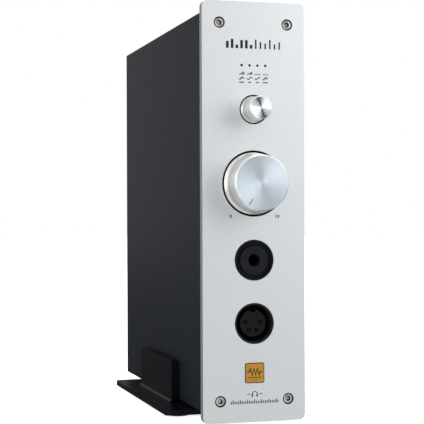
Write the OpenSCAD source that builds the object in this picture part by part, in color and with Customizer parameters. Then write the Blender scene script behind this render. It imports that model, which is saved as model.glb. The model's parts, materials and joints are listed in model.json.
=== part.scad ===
// Upright headphone amplifier in a cradle stand: a machined front panel with two knobs and
// two headphone sockets, a two-shell case, a connector panel at the rear, and its insides.
// Millimetres. +Z is up, the front faces -Y, and +X is to the right of a person facing it.
// Depths are measured from the front panel's face towards the rear, heights from the floor.

/* [Front panel] */
// Width of the front panel
panel_w = 57; // [54:0.5:62]
// Height of the front panel
panel_h = 223; // [221:0.5:226]
// Thickness of the front panel
panel_t = 4.5; // [4.2:0.1:4.8]
// Corner radius of the front panel
panel_r = 3.2; // [1.5:0.1:4]
// Clearance between the panel's lower edge and the floor
panel_gap = 0.8; // [0.5:0.1:1.2]

/* [Case] */
// Outer width of the case
case_w = 50; // [49:0.5:53]
// Outer height of the case
case_h = 216; // [215.5:0.5:217]
// Depth from the panel's face to the rear edge of the case
case_end = 200; // [198:0.5:206]
// Wall thickness of the case shells
case_wall = 2; // [1.6:0.1:2]
// Outer corner radius of the case
case_r = 1.4; // [0.6:0.1:1.8]

/* [Controls and sockets] */
// Height of the volume knob above the panel's lower edge
volume_up = 126.5; // [124:0.1:130]
// Height of the selector knob above the panel's lower edge
selector_up = 165.8; // [164:0.1:168]
// Height of the headphone jack above the panel's lower edge
jack_up = 85.8; // [84:0.1:88]
// Height of the balanced socket above the panel's lower edge
balanced_up = 52.2; // [50:0.1:54]
// Height of the row of indicator lights above the panel's lower edge
lights_up = 189.2; // [188:0.1:191]
// How far the volume knob stands out of the panel
volume_reach = 13.9; // [12:0.1:15]
// How far the selector knob stands out of the panel
selector_reach = 12.8; // [12:0.1:15]
// Angle of the volume pointer from straight down, at its lowest setting
volume_start = 32; // [28:1:36]
// Bore radius of the headphone jack
jack_bore_r = 3.25; // [3.2:0.01:3.3]

/* [Stand] */
// Width of the stand's base plate
base_w = 80.8; // [76:0.2:90]
// Length of the base plate from front to rear
base_l = 134; // [110:1:140]
// Depth of the base plate's front edge behind the panel's face
base_front = 31.5; // [26:0.5:36]
// Thickness of the base plate
base_t = 2.8; // [2:0.1:2.8]
// Height of the rubber feet
foot_h = 1; // [1:0.1:1.2]
// Length of each upright cheek
cheek_l = 77; // [60:1:90]
// Height of the cheek's top edge above the floor
cheek_top = 27.6; // [20:0.2:36]

/* [Hidden] */
$fn = 72;

// Where the front and rear reach, and the shift that puts the origin midway between them.
rear_end = case_end + 10;
origin_shift = (rear_end - volume_reach) / 2;

// Heights above the floor.
panel_mid = panel_gap + panel_h / 2;
volume_z = panel_gap + volume_up;
selector_z = panel_gap + selector_up;
jack_z = panel_gap + jack_up;
balanced_z = panel_gap + balanced_up;
lights_z = panel_gap + lights_up;
badge_z = panel_gap + 26;
badge_w = 10.6;
badge_r = 1;
badge_play = 0.1;
case_bottom = panel_mid - case_h / 2;

// Panel screws: M3 socket heads, sunk in counterbores, into the case's screw ports.
port_x = 18.9;
port_inset = 11.5;
port_z = [panel_gap + port_inset, panel_gap + panel_h - port_inset];
port_r = 3.4;
m3_tap_r = 1.25;
m3_r = 1.5;
m3_clear_r = 1.7;
m3_head_r = 2.75;
screw_sink_r = 3.05;
screw_sink = 3.2;

// Inside the case.
inner_w = case_w - 2 * case_wall;
inner_h = case_h - 2 * case_wall;
seam = 0.1;
bracket_t = 1.5;
bracket_end = panel_t + bracket_t;
rear_sink = 0.5;
rear_t = 2;
rear_face = case_end - rear_sink;
rear_in = rear_face - rear_t;
fit_gap = 0.15;

// Knobs, their shafts and the holes around them.
shaft_r = 3;
shaft_play = 0.05;
shaft_front = -9;
shaft_end = 20;
knob_bore_end = shaft_front - 0.2;
knob_back = 1.2;
skirt_front = 0.2;
bushing_r = 3.5;
bushing_front = 1.8;
nut_r = 5.77;
control_end = bracket_end + 24;
volume_r = 14.8;
volume_chamfer = 0.6;
volume_flare = -3.6;
volume_skirt_r = 16.5;
volume_hole_r = 17.6;
volume_hub_r = 6;
volume_floor = -5.5;
volume_hollow_r = [12.4, 14.4];
selector_r = 6.1;
selector_chamfer = 0.35;
selector_flare = -4;
selector_skirt_r = 7.1;
selector_hole_r = 7.85;
pointer_l = 3.7;
pointer_w = 0.7;
pointer_deep = 0.4;
pointer_edge = 1.4;

// Grub screws that hold the knobs, and the bodies of the two controls.
set_screw_y = -1.6;
volume_set_r = 1.5;
volume_set_l = 5;
selector_set_r = 1.25;
selector_set_l = 3;
volume_body = 27;
selector_body = 22;
nut_t = 2;

// Front sockets.
socket_r = 10.85;
socket_flange = 26;
socket_hole_r = 10.9;
socket_screw_at = 10.6;
jack_boss_r = 7.7;
jack_groove = 2.6;
jack_chamber_r = 4.6;
ring_inner_r = 9.75;
ring_deep = 18;
insert_r = 7.4;
insert_front = 2.6;
contact_ring_r = 4.2;
contact_r = 1.2;
contact_angles = [-98, -31, 31, 98];
light_x = [-6.6, -2.2, 2.2, 6.6];
light_r = 0.65;

// Boards stand upright on the tray, with their parts facing +X.
tray_t = 1.5;
tray_x = -inner_w / 2 + 0.2;
tray_face = tray_x + tray_t;
board_t = 1.6;
board_gap = 4.3;
board_x = tray_face + board_gap;
board_face = board_x + board_t;
main_y = [48, 190];
main_z = [98, 206];
power_y = [140, 190];
power_z = [18, 92];
board_holes = concat(
    [for (y = [54, 114, 174]) for (z = [104, 200]) [y, z]],
    [for (y = [145, 185]) for (z = [23, 87]) [y, z]]
);

// Toroidal transformer, its axis across the case.
core_y = 97;
core_z = 53;
core_r = 35;
core_hole_r = 12;
core_w = 32;
core_round = 7;
core_bolt_r = 3;
pad_t = 2;
pad_inset = 6;
plate_t = 1.5;
plate_inset = 9;
core_x = tray_face + pad_t;
core_end = core_x + core_w;

// Heights of the rear connectors.
inlet_z = 40;
switch_z = 84;
outputs_z = [117, 149.5];
output_screw_at = [9.5, 12];
line_x = 10;
line_z = 176;
line_r = 4.15;
output_ring_r = 11.8;
output_cup_r = 8.15;
inlet_size = [20, 28];
switch_size = [13, 19];
ports_z = 195;
small_port_z = 209;
port_board_y = rear_in - 14.5;

// Places of the screws that hold the inlet and the balanced outputs, as [x, height].
flange_screws = concat(
    [for (s = [-1, 1]) [0, inlet_z + 20 * s]],
    [for (z = outputs_z) for (s = [-1, 1]) [s * output_screw_at[0], z + s * output_screw_at[1]]]
);

// Rocker of the power switch.
rocker_pivot = rear_face - 3.5;
rocker_tilt = 7;
rocker_pin_r = 1;

// Stand.
plate_top = foot_h + base_t;
cheek_x = 29.6;
cheek_t = 3;
cheek_front = 62;
cheek_round = 3;
root_fillet = 2;
foot_r = 6;

// ---- Shared shapes -----------------------------------------------------------------

// Moves a drawing made from the panel's face and the floor to the part's own origin.
module placed() {
    translate([0, -origin_shift, 0]) children();
}

// Flat rectangle with round corners, centred.
module rounded_square(w, h, r) {
    square([w - 2 * r, h], center = true);
    square([w, h - 2 * r], center = true);
    for (x = [-1, 1]) for (y = [-1, 1]) {
        translate([x * (w / 2 - r), y * (h / 2 - r)]) circle(r);
    }
}

// Outline drawn as seen from the front, from depth y0 to y0 + t.
module facing(y0, t) {
    translate([0, y0 + t, 0]) rotate([90, 0, 0]) linear_extrude(t) children();
}

// Cylinder along Y from depth y0.
module rod_y(x, y0, z, r, l) {
    translate([x, y0, z]) rotate([-90, 0, 0]) cylinder(r = r, h = l);
}

// Cylinder along X from x0.
module rod_x(x0, y, z, r, l) {
    translate([x0, y, z]) rotate([0, 90, 0]) cylinder(r = r, h = l);
}

// Solid turned about an axis along Y; points are [radius, depth].
module turned(z, points, x = 0) {
    translate([x, 0, z]) rotate([-90, 0, 0]) rotate_extrude() polygon(points);
}

// Box between two corners.
module block(low, high) {
    translate(low) cube(high - low);
}

// Socket-head screw along Y: the head's front at y0, the shank behind it.
module socket_screw(x, y0, z, shank) {
    difference() {
        union() {
            rod_y(x, y0, z, m3_head_r, 3);
            rod_y(x, y0 + 2.9, z, m3_tap_r, shank + 0.1);
        }
        translate([x, y0 - 0.01, z]) rotate([-90, 0, 0]) cylinder(r = 1.45, h = 1.6, $fn = 6);
    }
}

// Pan-head screw along Y, head facing the rear.
module pan_screw_y(x, y0, z, shank, head_r = 2.7) {
    difference() {
        union() {
            turned(z, [[0, y0], [head_r, y0], [head_r, y0 + 1], [head_r - 0.8, y0 + 1.8],
                [0, y0 + 1.8]], x);
            rod_y(x, y0 - shank, z, m3_tap_r, shank + 0.1);
        }
        for (a = [0, 90]) translate([x, y0 + 1.8, z]) rotate([0, a, 0]) {
            cube([2.6, 1.8, 0.6], center = true);
        }
    }
}

module at_ports() {
    for (x = [-port_x, port_x]) for (z = port_z) translate([x, 0, z]) children();
}

// ---- Front panel -------------------------------------------------------------------

module front_panel() {
    color([0.86, 0.87, 0.88]) placed() difference() {
        facing(0, panel_t) translate([0, panel_mid]) rounded_square(panel_w, panel_h, panel_r);
        rod_y(0, -1, volume_z, volume_hole_r, panel_t + 2);
        rod_y(0, -1, selector_z, selector_hole_r, panel_t + 2);
        for (z = [jack_z, balanced_z]) rod_y(0, -1, z, socket_hole_r, panel_t + 2);
        for (x = light_x) rod_y(x, -1, lights_z, light_r + 0.05, panel_t + 2);
        at_ports() {
            rod_y(0, -1, 0, m3_clear_r, panel_t + 2);
            rod_y(0, -1, 0, screw_sink_r, screw_sink + 1);
        }
        facing(-1, 1.4) translate([0, badge_z]) {
            rounded_square(badge_w + 2 * badge_play, badge_w + 2 * badge_play, badge_r + badge_play);
        }
    }
}

// Black plate behind the panel that carries the controls and sockets.
module front_bracket() {
    color([0.05, 0.05, 0.055]) placed() difference() {
        facing(panel_t, bracket_t) translate([0, panel_mid]) {
            square([inner_w - 2 * fit_gap, inner_h - 2 * fit_gap], center = true);
        }
        for (z = [volume_z, selector_z]) rod_y(0, 0, z, bushing_r + 0.1, 10);
        for (z = [jack_z, balanced_z]) {
            rod_y(0, 0, z, socket_hole_r, 10);
            for (s = [-1, 1]) rod_y(s * socket_screw_at, 0, z + s * socket_screw_at, m3_tap_r, 10);
        }
        for (x = light_x) rod_y(x, 0, lights_z, 0.75, 10);
        at_ports() rod_y(0, 0, 0, m3_clear_r, 10);
    }
}

module front_panel_screws() {
    color([0.62, 0.6, 0.56]) placed() at_ports() socket_screw(0, 0.2, 0, 10);
}

module badge() {
    color([0.78, 0.58, 0.22]) placed() facing(-0.2, 0.6) {
        translate([0, badge_z]) rounded_square(badge_w, badge_w, badge_r);
    }
}

// ---- Volume control ----------------------------------------------------------------

module volume_knob() {
    color([0.8, 0.81, 0.83]) placed() difference() {
        turned(volume_z, [
            [shaft_r, knob_back], [volume_hub_r, knob_back], [volume_hub_r, volume_floor],
            [volume_hollow_r[0], volume_floor], [volume_hollow_r[1], knob_back],
            [volume_skirt_r, knob_back], [volume_skirt_r, skirt_front], [volume_r, volume_flare],
            [volume_r, volume_chamfer - volume_reach], [volume_r - volume_chamfer, -volume_reach],
            [0, -volume_reach], [0, knob_bore_end], [shaft_r, knob_bore_end]
        ]);
        translate([0, -volume_reach, volume_z]) rotate([0, volume_start, 0]) {
            translate([0, 0, pointer_edge + pointer_l / 2 - volume_r]) {
                cube([pointer_w, 2 * pointer_deep, pointer_l], center = true);
            }
        }
        rod_x(0, set_screw_y, volume_z, volume_set_r, volume_skirt_r + 1);
    }
}

module volume_shaft() {
    color([0.7, 0.7, 0.68]) placed() {
        rod_y(0, shaft_front, volume_z, shaft_r, shaft_end - shaft_front);
    }
}

// Grub screw with its hex socket facing outwards.
module grub_screw(z, r, reach) {
    difference() {
        rod_x(shaft_r, set_screw_y, z, r, reach);
        translate([shaft_r + reach - 1.5, set_screw_y, z]) rotate([0, 90, 0]) {
            cylinder(r = r * 0.55, h = 2, $fn = 6);
        }
    }
}

module volume_set_screw() {
    color([0.2, 0.2, 0.21]) placed() grub_screw(volume_z, volume_set_r, volume_set_l);
}

// Control body behind the bracket, with a threaded bushing for its shaft.
module control_body(z, w) {
    difference() {
        union() {
            block([-w / 2, bracket_end, z - w / 2], [w / 2, control_end, z + w / 2]);
            rod_y(0, bushing_front, z, bushing_r, bracket_end - bushing_front + 1);
        }
        rod_y(0, 0, z, shaft_r + shaft_play, shaft_end + 0.3);
    }
}

module volume_pot() {
    color([0.25, 0.32, 0.28]) placed() control_body(volume_z, volume_body);
}

// Hex nut on the bushing, in front of the bracket.
module bushing_nut(z) {
    translate([0, panel_t - nut_t, z]) rotate([-90, 0, 0]) difference() {
        cylinder(r = nut_r, h = nut_t, $fn = 6);
        translate([0, 0, -1]) cylinder(r = bushing_r, h = nut_t + 2);
    }
}

module volume_pot_nut() {
    color([0.72, 0.7, 0.64]) placed() bushing_nut(volume_z);
}

// ---- Selector ----------------------------------------------------------------------

module selector_knob() {
    color([0.8, 0.81, 0.83]) placed() difference() {
        turned(selector_z, [
            [shaft_r, knob_back], [selector_skirt_r, knob_back], [selector_skirt_r, skirt_front],
            [selector_r, selector_flare], [selector_r, selector_chamfer - selector_reach],
            [selector_r - selector_chamfer, -selector_reach], [0, -selector_reach],
            [0, knob_bore_end], [shaft_r, knob_bore_end]
        ]);
        rod_x(0, set_screw_y, selector_z, selector_set_r, selector_skirt_r + 1);
    }
}

module selector_shaft() {
    color([0.7, 0.7, 0.68]) placed() {
        rod_y(0, shaft_front, selector_z, shaft_r, shaft_end - shaft_front);
    }
}

module selector_set_screw() {
    color([0.2, 0.2, 0.21]) placed() grub_screw(selector_z, selector_set_r, selector_set_l);
}

module selector_switch() {
    color([0.18, 0.2, 0.24]) placed() control_body(selector_z, selector_body);
}

module selector_nut() {
    color([0.72, 0.7, 0.64]) placed() bushing_nut(selector_z);
}

// Board that the pot and the switch are soldered to.
module control_board() {
    color([0.08, 0.3, 0.16]) placed() {
        block([-18, control_end, volume_z - 20], [18, control_end + board_t, selector_z + 14]);
    }
}

// ---- Indicator lights --------------------------------------------------------------

module light_guides() {
    color([0.12, 0.12, 0.13]) placed() for (x = light_x) {
        rod_y(x, 0.05, lights_z, light_r, bracket_end + 0.15);
        rod_y(x, bracket_end + 0.1, lights_z, 1.6, 3);
    }
}

module indicator_leds() {
    color([0.9, 0.9, 0.8]) placed() for (x = light_x) {
        block([x - 1, bracket_end + 3.3, lights_z - 0.8], [x + 1, bracket_end + 4.6, lights_z + 0.8]);
    }
}

module indicator_board() {
    color([0.08, 0.3, 0.16]) placed() {
        block([-13.5, bracket_end + 4.6, lights_z - 6],
            [13.5, bracket_end + 4.6 + board_t, lights_z + 6]);
    }
}

module indicator_spacers() {
    color([0.72, 0.7, 0.64]) placed() for (x = [-11, 11]) {
        rod_y(x, bracket_end, lights_z, 1.8, 4.6);
    }
}

// ---- Front sockets -----------------------------------------------------------------

// Square mounting flange behind the bracket, with its two screw holes.
module socket_flange(z, hole_r) {
    difference() {
        facing(bracket_end, 2) translate([0, z]) square(socket_flange, center = true);
        rod_y(0, 0, z, hole_r, 20);
        for (s = [-1, 1]) rod_y(s * socket_screw_at, 0, z + s * socket_screw_at, m3_r, 20);
    }
}

// 6.35 mm jack: a round boss with a ring-shaped groove, and a chamber for the contacts.
module headphone_jack() {
    color([0.06, 0.06, 0.065]) placed() {
        turned(jack_z, [
            [jack_bore_r, 0], [jack_boss_r, 0], [jack_boss_r, jack_groove], [10, jack_groove],
            [10, 0.3], [10.3, 0], [socket_r, 0], [socket_r, bracket_end + 1],
            [jack_bore_r, bracket_end + 1]
        ]);
        socket_flange(jack_z, jack_bore_r);
        difference() {
            block([-8, bracket_end + 1, jack_z - 9], [8, bracket_end + 32, jack_z + 9]);
            rod_y(0, 0, jack_z, jack_bore_r, bracket_end + 4);
            rod_y(0, bracket_end + 3.9, jack_z, jack_chamber_r, 26);
            for (s = [-1, 1]) translate([0, bracket_end + 19, jack_z + s * 6]) {
                cube([3.4, 23, 4.4], center = true);
            }
        }
    }
}

// Spring leaves beside the plug's path.
module jack_contacts() {
    color([0.82, 0.7, 0.4]) placed() for (s = [-1, 1]) for (y = [12, 22]) {
        translate([0, bracket_end + y, jack_z + s * 4.2]) cube([3, 8, 0.4], center = true);
        translate([0, bracket_end + y + 3.8, jack_z + s * 5.5]) cube([3, 0.4, 2.8], center = true);
    }
}

// Balanced socket: the shell of the plug slides into the ring around the insert.
module balanced_socket() {
    color([0.05, 0.05, 0.055]) placed() {
        turned(balanced_z, [
            [ring_inner_r, 0.4], [ring_inner_r + 0.4, 0], [socket_r, 0], [socket_r, bracket_end + 1],
            [12, bracket_end + 1], [12, 26], [0, 26], [0, ring_deep], [ring_inner_r, ring_deep]
        ]);
        socket_flange(balanced_z, 11);
    }
}

// Places of the four contacts, on a ring below the key.
module at_contacts() {
    for (a = contact_angles) translate([0, 0, balanced_z]) rotate([0, a, 0]) {
        translate([0, 0, -contact_ring_r]) children();
    }
}

module balanced_insert() {
    color([0.07, 0.07, 0.075]) placed() difference() {
        turned(balanced_z, [
            [0, insert_front], [insert_r - 0.3, insert_front], [insert_r, insert_front + 0.3],
            [insert_r, ring_deep], [0, ring_deep]
        ]);
        at_contacts() rod_y(0, 1, 0, contact_r, 15);
        translate([0, 6.5, balanced_z + insert_r]) cube([3, 10, 3], center = true);
    }
}

module balanced_contacts() {
    color([0.82, 0.7, 0.4]) placed() at_contacts() difference() {
        rod_y(0, 4.6, 0, contact_r, 11.4);
        rod_y(0, 4, 0, 0.8, 10);
    }
}

module socket_screws() {
    color([0.2, 0.2, 0.21]) placed() for (z = [jack_z, balanced_z]) for (s = [-1, 1]) {
        pan_screw_y(s * socket_screw_at, bracket_end + 2, z + s * socket_screw_at, 3.4, 2.2);
    }
}

// ---- Case --------------------------------------------------------------------------

// Half of the case's wall, left of the middle, seen from the front.
module half_wall() {
    intersection() {
        translate([0, panel_mid]) difference() {
            rounded_square(case_w, case_h, case_r);
            square([inner_w, inner_h], center = true);
        }
        translate([-case_w / 2 - 1, 0]) square([case_w / 2 + 1 - seam / 2, panel_gap + panel_h]);
    }
}

// Screw ports and their webs, left of the middle.
module half_ports() {
    for (z = port_z) difference() {
        union() {
            translate([-port_x, z]) circle(port_r);
            translate([-inner_w / 2 - 0.5, z - 1.2]) square([inner_w / 2 - port_x + 0.5, 2.4]);
        }
        translate([-port_x, z]) circle(m3_tap_r);
    }
}

module half_shell() {
    facing(panel_t, case_end - panel_t) half_wall();
    facing(bracket_end, rear_in - bracket_end) half_ports();
}

// The left shell has a lip inside each seam, which the right shell closes over.
module case_left_shell() {
    color([0.16, 0.165, 0.175]) placed() {
        half_shell();
        facing(bracket_end, rear_in - bracket_end) {
            for (s = [-1, 1]) translate([-1.5, panel_mid + s * (inner_h / 2 - 0.5)]) {
                square([9, 1], center = true);
            }
        }
    }
}

module case_right_shell() {
    color([0.16, 0.165, 0.175]) placed() mirror([1, 0, 0]) half_shell();
}

// Tray that carries the boards and the transformer, against the left wall.
module inner_tray() {
    color([0.7, 0.71, 0.72]) placed() difference() {
        block([tray_x, 38, port_z[0] + port_r + 0.3], [tray_face, 192, port_z[1] - port_r - 0.3]);
        for (h = board_holes) rod_x(tray_x - 1, h[0], h[1], m3_tap_r, 4);
    }
}

// ---- Transformer -------------------------------------------------------------------

module transformer() {
    color([0.75, 0.6, 0.18]) placed() translate([core_x + core_w / 2, core_y, core_z]) {
        rotate([0, 90, 0]) rotate_extrude() translate([(core_r + core_hole_r) / 2, 0]) {
            rounded_square(core_r - core_hole_r, core_w, core_round);
        }
    }
}

// Soft washers under and over the windings.
module transformer_pads() {
    color([0.08, 0.08, 0.08]) placed() for (x = [tray_face, core_end]) difference() {
        rod_x(x, core_y, core_z, core_r - pad_inset, pad_t);
        rod_x(x - 1, core_y, core_z, core_bolt_r + 0.1, pad_t + 2);
    }
}

module transformer_plate() {
    color([0.6, 0.6, 0.6]) placed() difference() {
        rod_x(core_end + pad_t, core_y, core_z, core_r - plate_inset, plate_t);
        rod_x(core_end, core_y, core_z, core_bolt_r + 0.1, pad_t + plate_t + 2);
    }
}

module transformer_bolt() {
    color([0.66, 0.65, 0.62]) placed() {
        rod_x(tray_face, core_y, core_z, core_bolt_r, core_end + pad_t + 6.5 - tray_face);
    }
}

module transformer_nut() {
    color([0.66, 0.65, 0.62]) placed() translate([core_end + pad_t + plate_t, core_y, core_z]) {
        rotate([0, 90, 0]) difference() {
            cylinder(r = 5.8, h = 4, $fn = 6);
            translate([0, 0, -1]) cylinder(r = core_bolt_r, h = 6);
        }
    }
}

// ---- Boards ------------------------------------------------------------------------

// Upright board between two depths and two heights, with the holes that fall on it.
module board(ys, zs) {
    difference() {
        block([board_x, ys[0], zs[0]], [board_face, ys[1], zs[1]]);
        for (h = board_holes) {
            if (h[1] > zs[0] && h[1] < zs[1]) rod_x(board_x - 1, h[0], h[1], m3_r, 4);
        }
    }
}

module main_board() {
    color([0.08, 0.3, 0.16]) placed() board(main_y, main_z);
}

module power_board() {
    color([0.08, 0.3, 0.16]) placed() board(power_y, power_z);
}

// Board behind the digital ports, parallel to the rear panel.
module port_board() {
    color([0.08, 0.3, 0.16]) placed() {
        block([-15.2, port_board_y - board_t, 184], [15.2, port_board_y, 213]);
    }
}

module board_standoffs() {
    color([0.8, 0.7, 0.4]) placed() for (h = board_holes) difference() {
        rod_x(tray_face, h[0], h[1], 2.5, board_gap);
        rod_x(tray_face - 1, h[0], h[1], m3_tap_r, board_gap + 2);
    }
}

module board_screws() {
    color([0.66, 0.65, 0.62]) placed() for (h = board_holes) difference() {
        union() {
            rod_x(board_face, h[0], h[1], m3_head_r, 1.8);
            rod_x(tray_face, h[0], h[1], m3_tap_r, board_face + 0.1 - tray_face);
        }
        for (a = [0, 90]) translate([board_face + 1.8, h[0], h[1]]) rotate([a, 0, 0]) {
            cube([1.8, 2.8, 0.6], center = true);
        }
    }
}

// Ladder converter modules, each a small board on two pin headers.
module dac_modules() {
    color([0.1, 0.14, 0.34]) placed() for (z = [109, 157]) {
        block([board_face + 8, 100, z], [board_face + 9.6, 132, z + 38]);
        for (y = [101.5, 127.5]) {
            block([board_face, y, z + 3], [board_face + 8, y + 3, z + 35]);
        }
        for (y = [106, 112, 118]) for (k = [0:5]) {
            block([board_face + 9.5, y, z + 4 + 5 * k], [board_face + 10.6, y + 4, z + 7 + 5 * k]);
        }
    }
}

// Finned heatsinks, fins pointing away from the board, and the transistors clamped to them.
module heatsinks() {
    color([0.1, 0.1, 0.105]) placed() for (z = [108, 156]) {
        block([board_face, 80, z], [board_face + 26, 84, z + 42]);
        for (k = [0:6]) {
            block([board_face + 0.5 + 4 * k, 56, z], [board_face + 2 + 4 * k, 80.1, z + 42]);
        }
    }
}

module output_transistors() {
    color([0.06, 0.06, 0.06]) placed() for (z = [114, 138, 162, 186]) {
        block([board_face + 3, 84, z - 3], [board_face + 18, 88.5, z + 7]);
        for (k = [-1, 0, 1]) {
            block([board_face, 86, z + 1.6 + 2.5 * k], [board_face + 3.1, 86.7, z + 2.4 + 2.5 * k]);
        }
    }
}

module filter_capacitors() {
    color([0.1, 0.1, 0.3]) placed() for (y = [151, 170]) for (z = [34, 55, 76]) {
        difference() {
            translate([board_face, y, z]) rotate([0, 90, 0]) rotate_extrude() {
                polygon([[0, 0], [9, 0], [9, 2.6], [8.5, 3.2], [9, 3.8], [9, 30], [0, 30]]);
            }
            for (a = [0, 90]) translate([board_face + 30, y, z]) rotate([a, 0, 0]) {
                cube([0.6, 12, 0.5], center = true);
            }
        }
    }
}

module coupling_capacitors() {
    color([0.6, 0.1, 0.08]) placed() for (y = [142, 154, 166]) for (z = [166, 182]) {
        block([board_face, y, z], [board_face + 11, y + 7, z + 13]);
    }
}

module output_relays() {
    color([0.1, 0.1, 0.11]) placed() for (z = [109, 131]) {
        block([board_face, 146, z], [board_face + 10, 165, z + 15]);
    }
}

// Flat cable from the control board to the main board, with a plug block at each end.
module ribbon_cable() {
    ribbon_z = 116;
    ribbon_w = 20;
    color([0.55, 0.56, 0.58]) placed() {
        block([-14, control_end + board_t, ribbon_z - 1], [-6, control_end + board_t + 5,
            ribbon_z + ribbon_w + 1]);
        block([board_face, 48.5, ribbon_z - 1], [board_face + 5, 54, ribbon_z + ribbon_w + 1]);
        translate([0, 0, ribbon_z]) linear_extrude(ribbon_w) polygon([
            [-10.4, control_end + board_t + 4.9], [-10.4, 42.6], [board_face + 2.6, 46.4],
            [board_face + 2.6, 48.6], [board_face + 3.4, 48.6], [board_face + 3.4, 46.8],
            [-9.6, 43], [-9.6, control_end + board_t + 4.9]
        ]);
    }
}

// ---- Rear panel and connectors -----------------------------------------------------

module rear_panel() {
    color([0.13, 0.13, 0.14]) placed() difference() {
        facing(rear_in, rear_t) translate([0, panel_mid]) {
            square([inner_w - 2 * fit_gap, inner_h - 2 * fit_gap], center = true);
        }
        at_ports() rod_y(0, rear_in - 1, 0, m3_clear_r, 4);
        facing(rear_in - 1, 4) translate([0, inlet_z]) square(inlet_size + [0.4, 0.4], center = true);
        for (p = flange_screws) rod_y(p[0], rear_in - 1, p[1], m3_tap_r, 4);
        facing(rear_in - 1, 4) translate([0, switch_z]) square(switch_size + [0.3, 0.3], center = true);
        for (z = outputs_z) rod_y(0, rear_in - 1, z, output_ring_r + fit_gap, 4);
        for (x = [-line_x, line_x]) rod_y(x, rear_in - 1, line_z, line_r + 0.25, 4);
        facing(rear_in - 1, 4) translate([-9, ports_z]) square([12.4, 11.4], center = true);
        facing(rear_in - 1, 4) translate([7, ports_z]) square([16.4, 13.9], center = true);
        facing(rear_in - 1, 4) translate([0, small_port_z]) rounded_square(9.6, 3.9, 1.9);
    }
}

module rear_panel_screws() {
    color([0.3, 0.3, 0.31]) placed() at_ports() pan_screw_y(0, rear_face, 0, 10);
}

// Outline of the mains inlet's recess: a tall slot with two corners cut off.
module inlet_outline(w, h, cut) {
    polygon([
        [-w / 2, -h / 2], [w / 2 - cut, -h / 2], [w / 2, -h / 2 + cut],
        [w / 2, h / 2 - cut], [w / 2 - cut, h / 2], [-w / 2, h / 2]
    ]);
}

module power_inlet() {
    color([0.06, 0.06, 0.065]) placed() difference() {
        union() {
            facing(rear_face, 2.5) translate([0, inlet_z]) rounded_square(22.5, 50, 3);
            facing(rear_face - 16, 16.1) translate([0, inlet_z]) square(inlet_size, center = true);
        }
        facing(rear_face - 13, 20) translate([0, inlet_z]) inlet_outline(16.6, 24.6, 4);
        for (s = [-1, 1]) rod_y(0, rear_face - 1, inlet_z + 20 * s, m3_r, 5);
    }
}

module power_inlet_pins() {
    color([0.78, 0.76, 0.7]) placed() for (p = [[-2, -7], [2, 0], [-2, 7]]) {
        block([p[0] - 2, rear_face - 13, inlet_z + p[1] - 1], [p[0] + 2, rear_face, inlet_z + p[1] + 1]);
    }
}

// Screws of the inlet, whose flange is thicker, and of the balanced outputs.
module connector_screws() {
    color([0.3, 0.3, 0.31]) placed() for (p = flange_screws) {
        pan_screw_y(p[0], rear_face + (p[0] == 0 ? 2.5 : 2), p[1], 6);
    }
}

module power_switch() {
    color([0.06, 0.06, 0.065]) placed() difference() {
        union() {
            facing(rear_face, 2) translate([0, switch_z]) rounded_square(15, 21, 1.5);
            facing(rear_face - 12, 12.1) translate([0, switch_z]) square(switch_size, center = true);
        }
        facing(rear_face - 9.5, 20) translate([0, switch_z]) square([10.4, 16.6], center = true);
        rod_x(-5.9, rocker_pivot, switch_z, rocker_pin_r + shaft_play, 11.8);
    }
}

// Rocker with its two pivot stubs, resting with its upper half pressed in.
module power_rocker() {
    color([0.1, 0.1, 0.105]) placed() translate([0, rocker_pivot, switch_z]) rotate([rocker_tilt, 0, 0]) {
        translate([-4.9, 0, 0]) rotate([90, 0, 90]) linear_extrude(9.8) {
            polygon([[-2, -7], [5.7, -7], [4.9, 0], [5.7, 7], [-2, 7]]);
        }
        rod_x(-5.7, 0, 0, rocker_pin_r, 11.4);
    }
}

// Phono jacks: a threaded flange, a gold barrel and an insulated centre hole.
module line_output_jacks() {
    color([0.82, 0.66, 0.3]) placed() for (x = [-line_x, line_x]) difference() {
        turned(line_z, [
            [0, rear_in - 9], [line_r, rear_in - 9], [line_r, rear_face], [6, rear_face],
            [6, rear_face + 1.6], [line_r, rear_face + 1.6], [line_r, rear_end - 0.3],
            [line_r - 0.3, rear_end], [0, rear_end]
        ], x);
        rod_y(x, rear_end - 8, line_z, 1.65, 10);
    }
}

// Three-pin output sockets: a flanged cup for the cable's plug.
module balanced_outputs() {
    color([0.1, 0.1, 0.105]) placed() for (z = outputs_z) difference() {
        union() {
            facing(rear_face, 2) translate([0, z]) rounded_square(26, 31, 3);
            rod_y(0, rear_face - 18, z, output_ring_r, 18.1);
        }
        rod_y(0, rear_face - 13.5, z, output_cup_r, 20);
        for (s = [-1, 1]) {
            rod_y(s * output_screw_at[0], rear_face - 1, z + s * output_screw_at[1], m3_r, 5);
        }
    }
}

module balanced_output_pins() {
    color([0.8, 0.8, 0.78]) placed() for (z = outputs_z) for (p = [[-4, 1], [4, 1], [0, -4.2]]) {
        rod_y(p[0], rear_face - 13.5, z + p[1], 1.2, 13);
    }
}

// Square data port with a centre tongue, and the small oval port above it.
module usb_port() {
    color([0.72, 0.73, 0.74]) placed() {
        difference() {
            facing(port_board_y, rear_face + 0.6 - port_board_y) translate([-9, ports_z]) {
                square([12, 11], center = true);
            }
            facing(port_board_y + 4, 20) translate([-9, ports_z]) square([8.6, 7.9], center = true);
        }
        facing(port_board_y + 3.9, rear_face - 1 - port_board_y - 3.9) translate([-9, ports_z]) {
            square([5.6, 3.2], center = true);
        }
        difference() {
            facing(port_board_y, rear_face + 0.6 - port_board_y) translate([0, small_port_z]) {
                rounded_square(9.2, 3.5, 1.74);
            }
            facing(port_board_y + 4, 20) translate([0, small_port_z]) rounded_square(8.5, 2.8, 1.39);
        }
        facing(port_board_y + 3.9, rear_face - 1 - port_board_y - 3.9) {
            translate([0, small_port_z]) square([6.6, 0.8], center = true);
        }
    }
}

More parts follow.
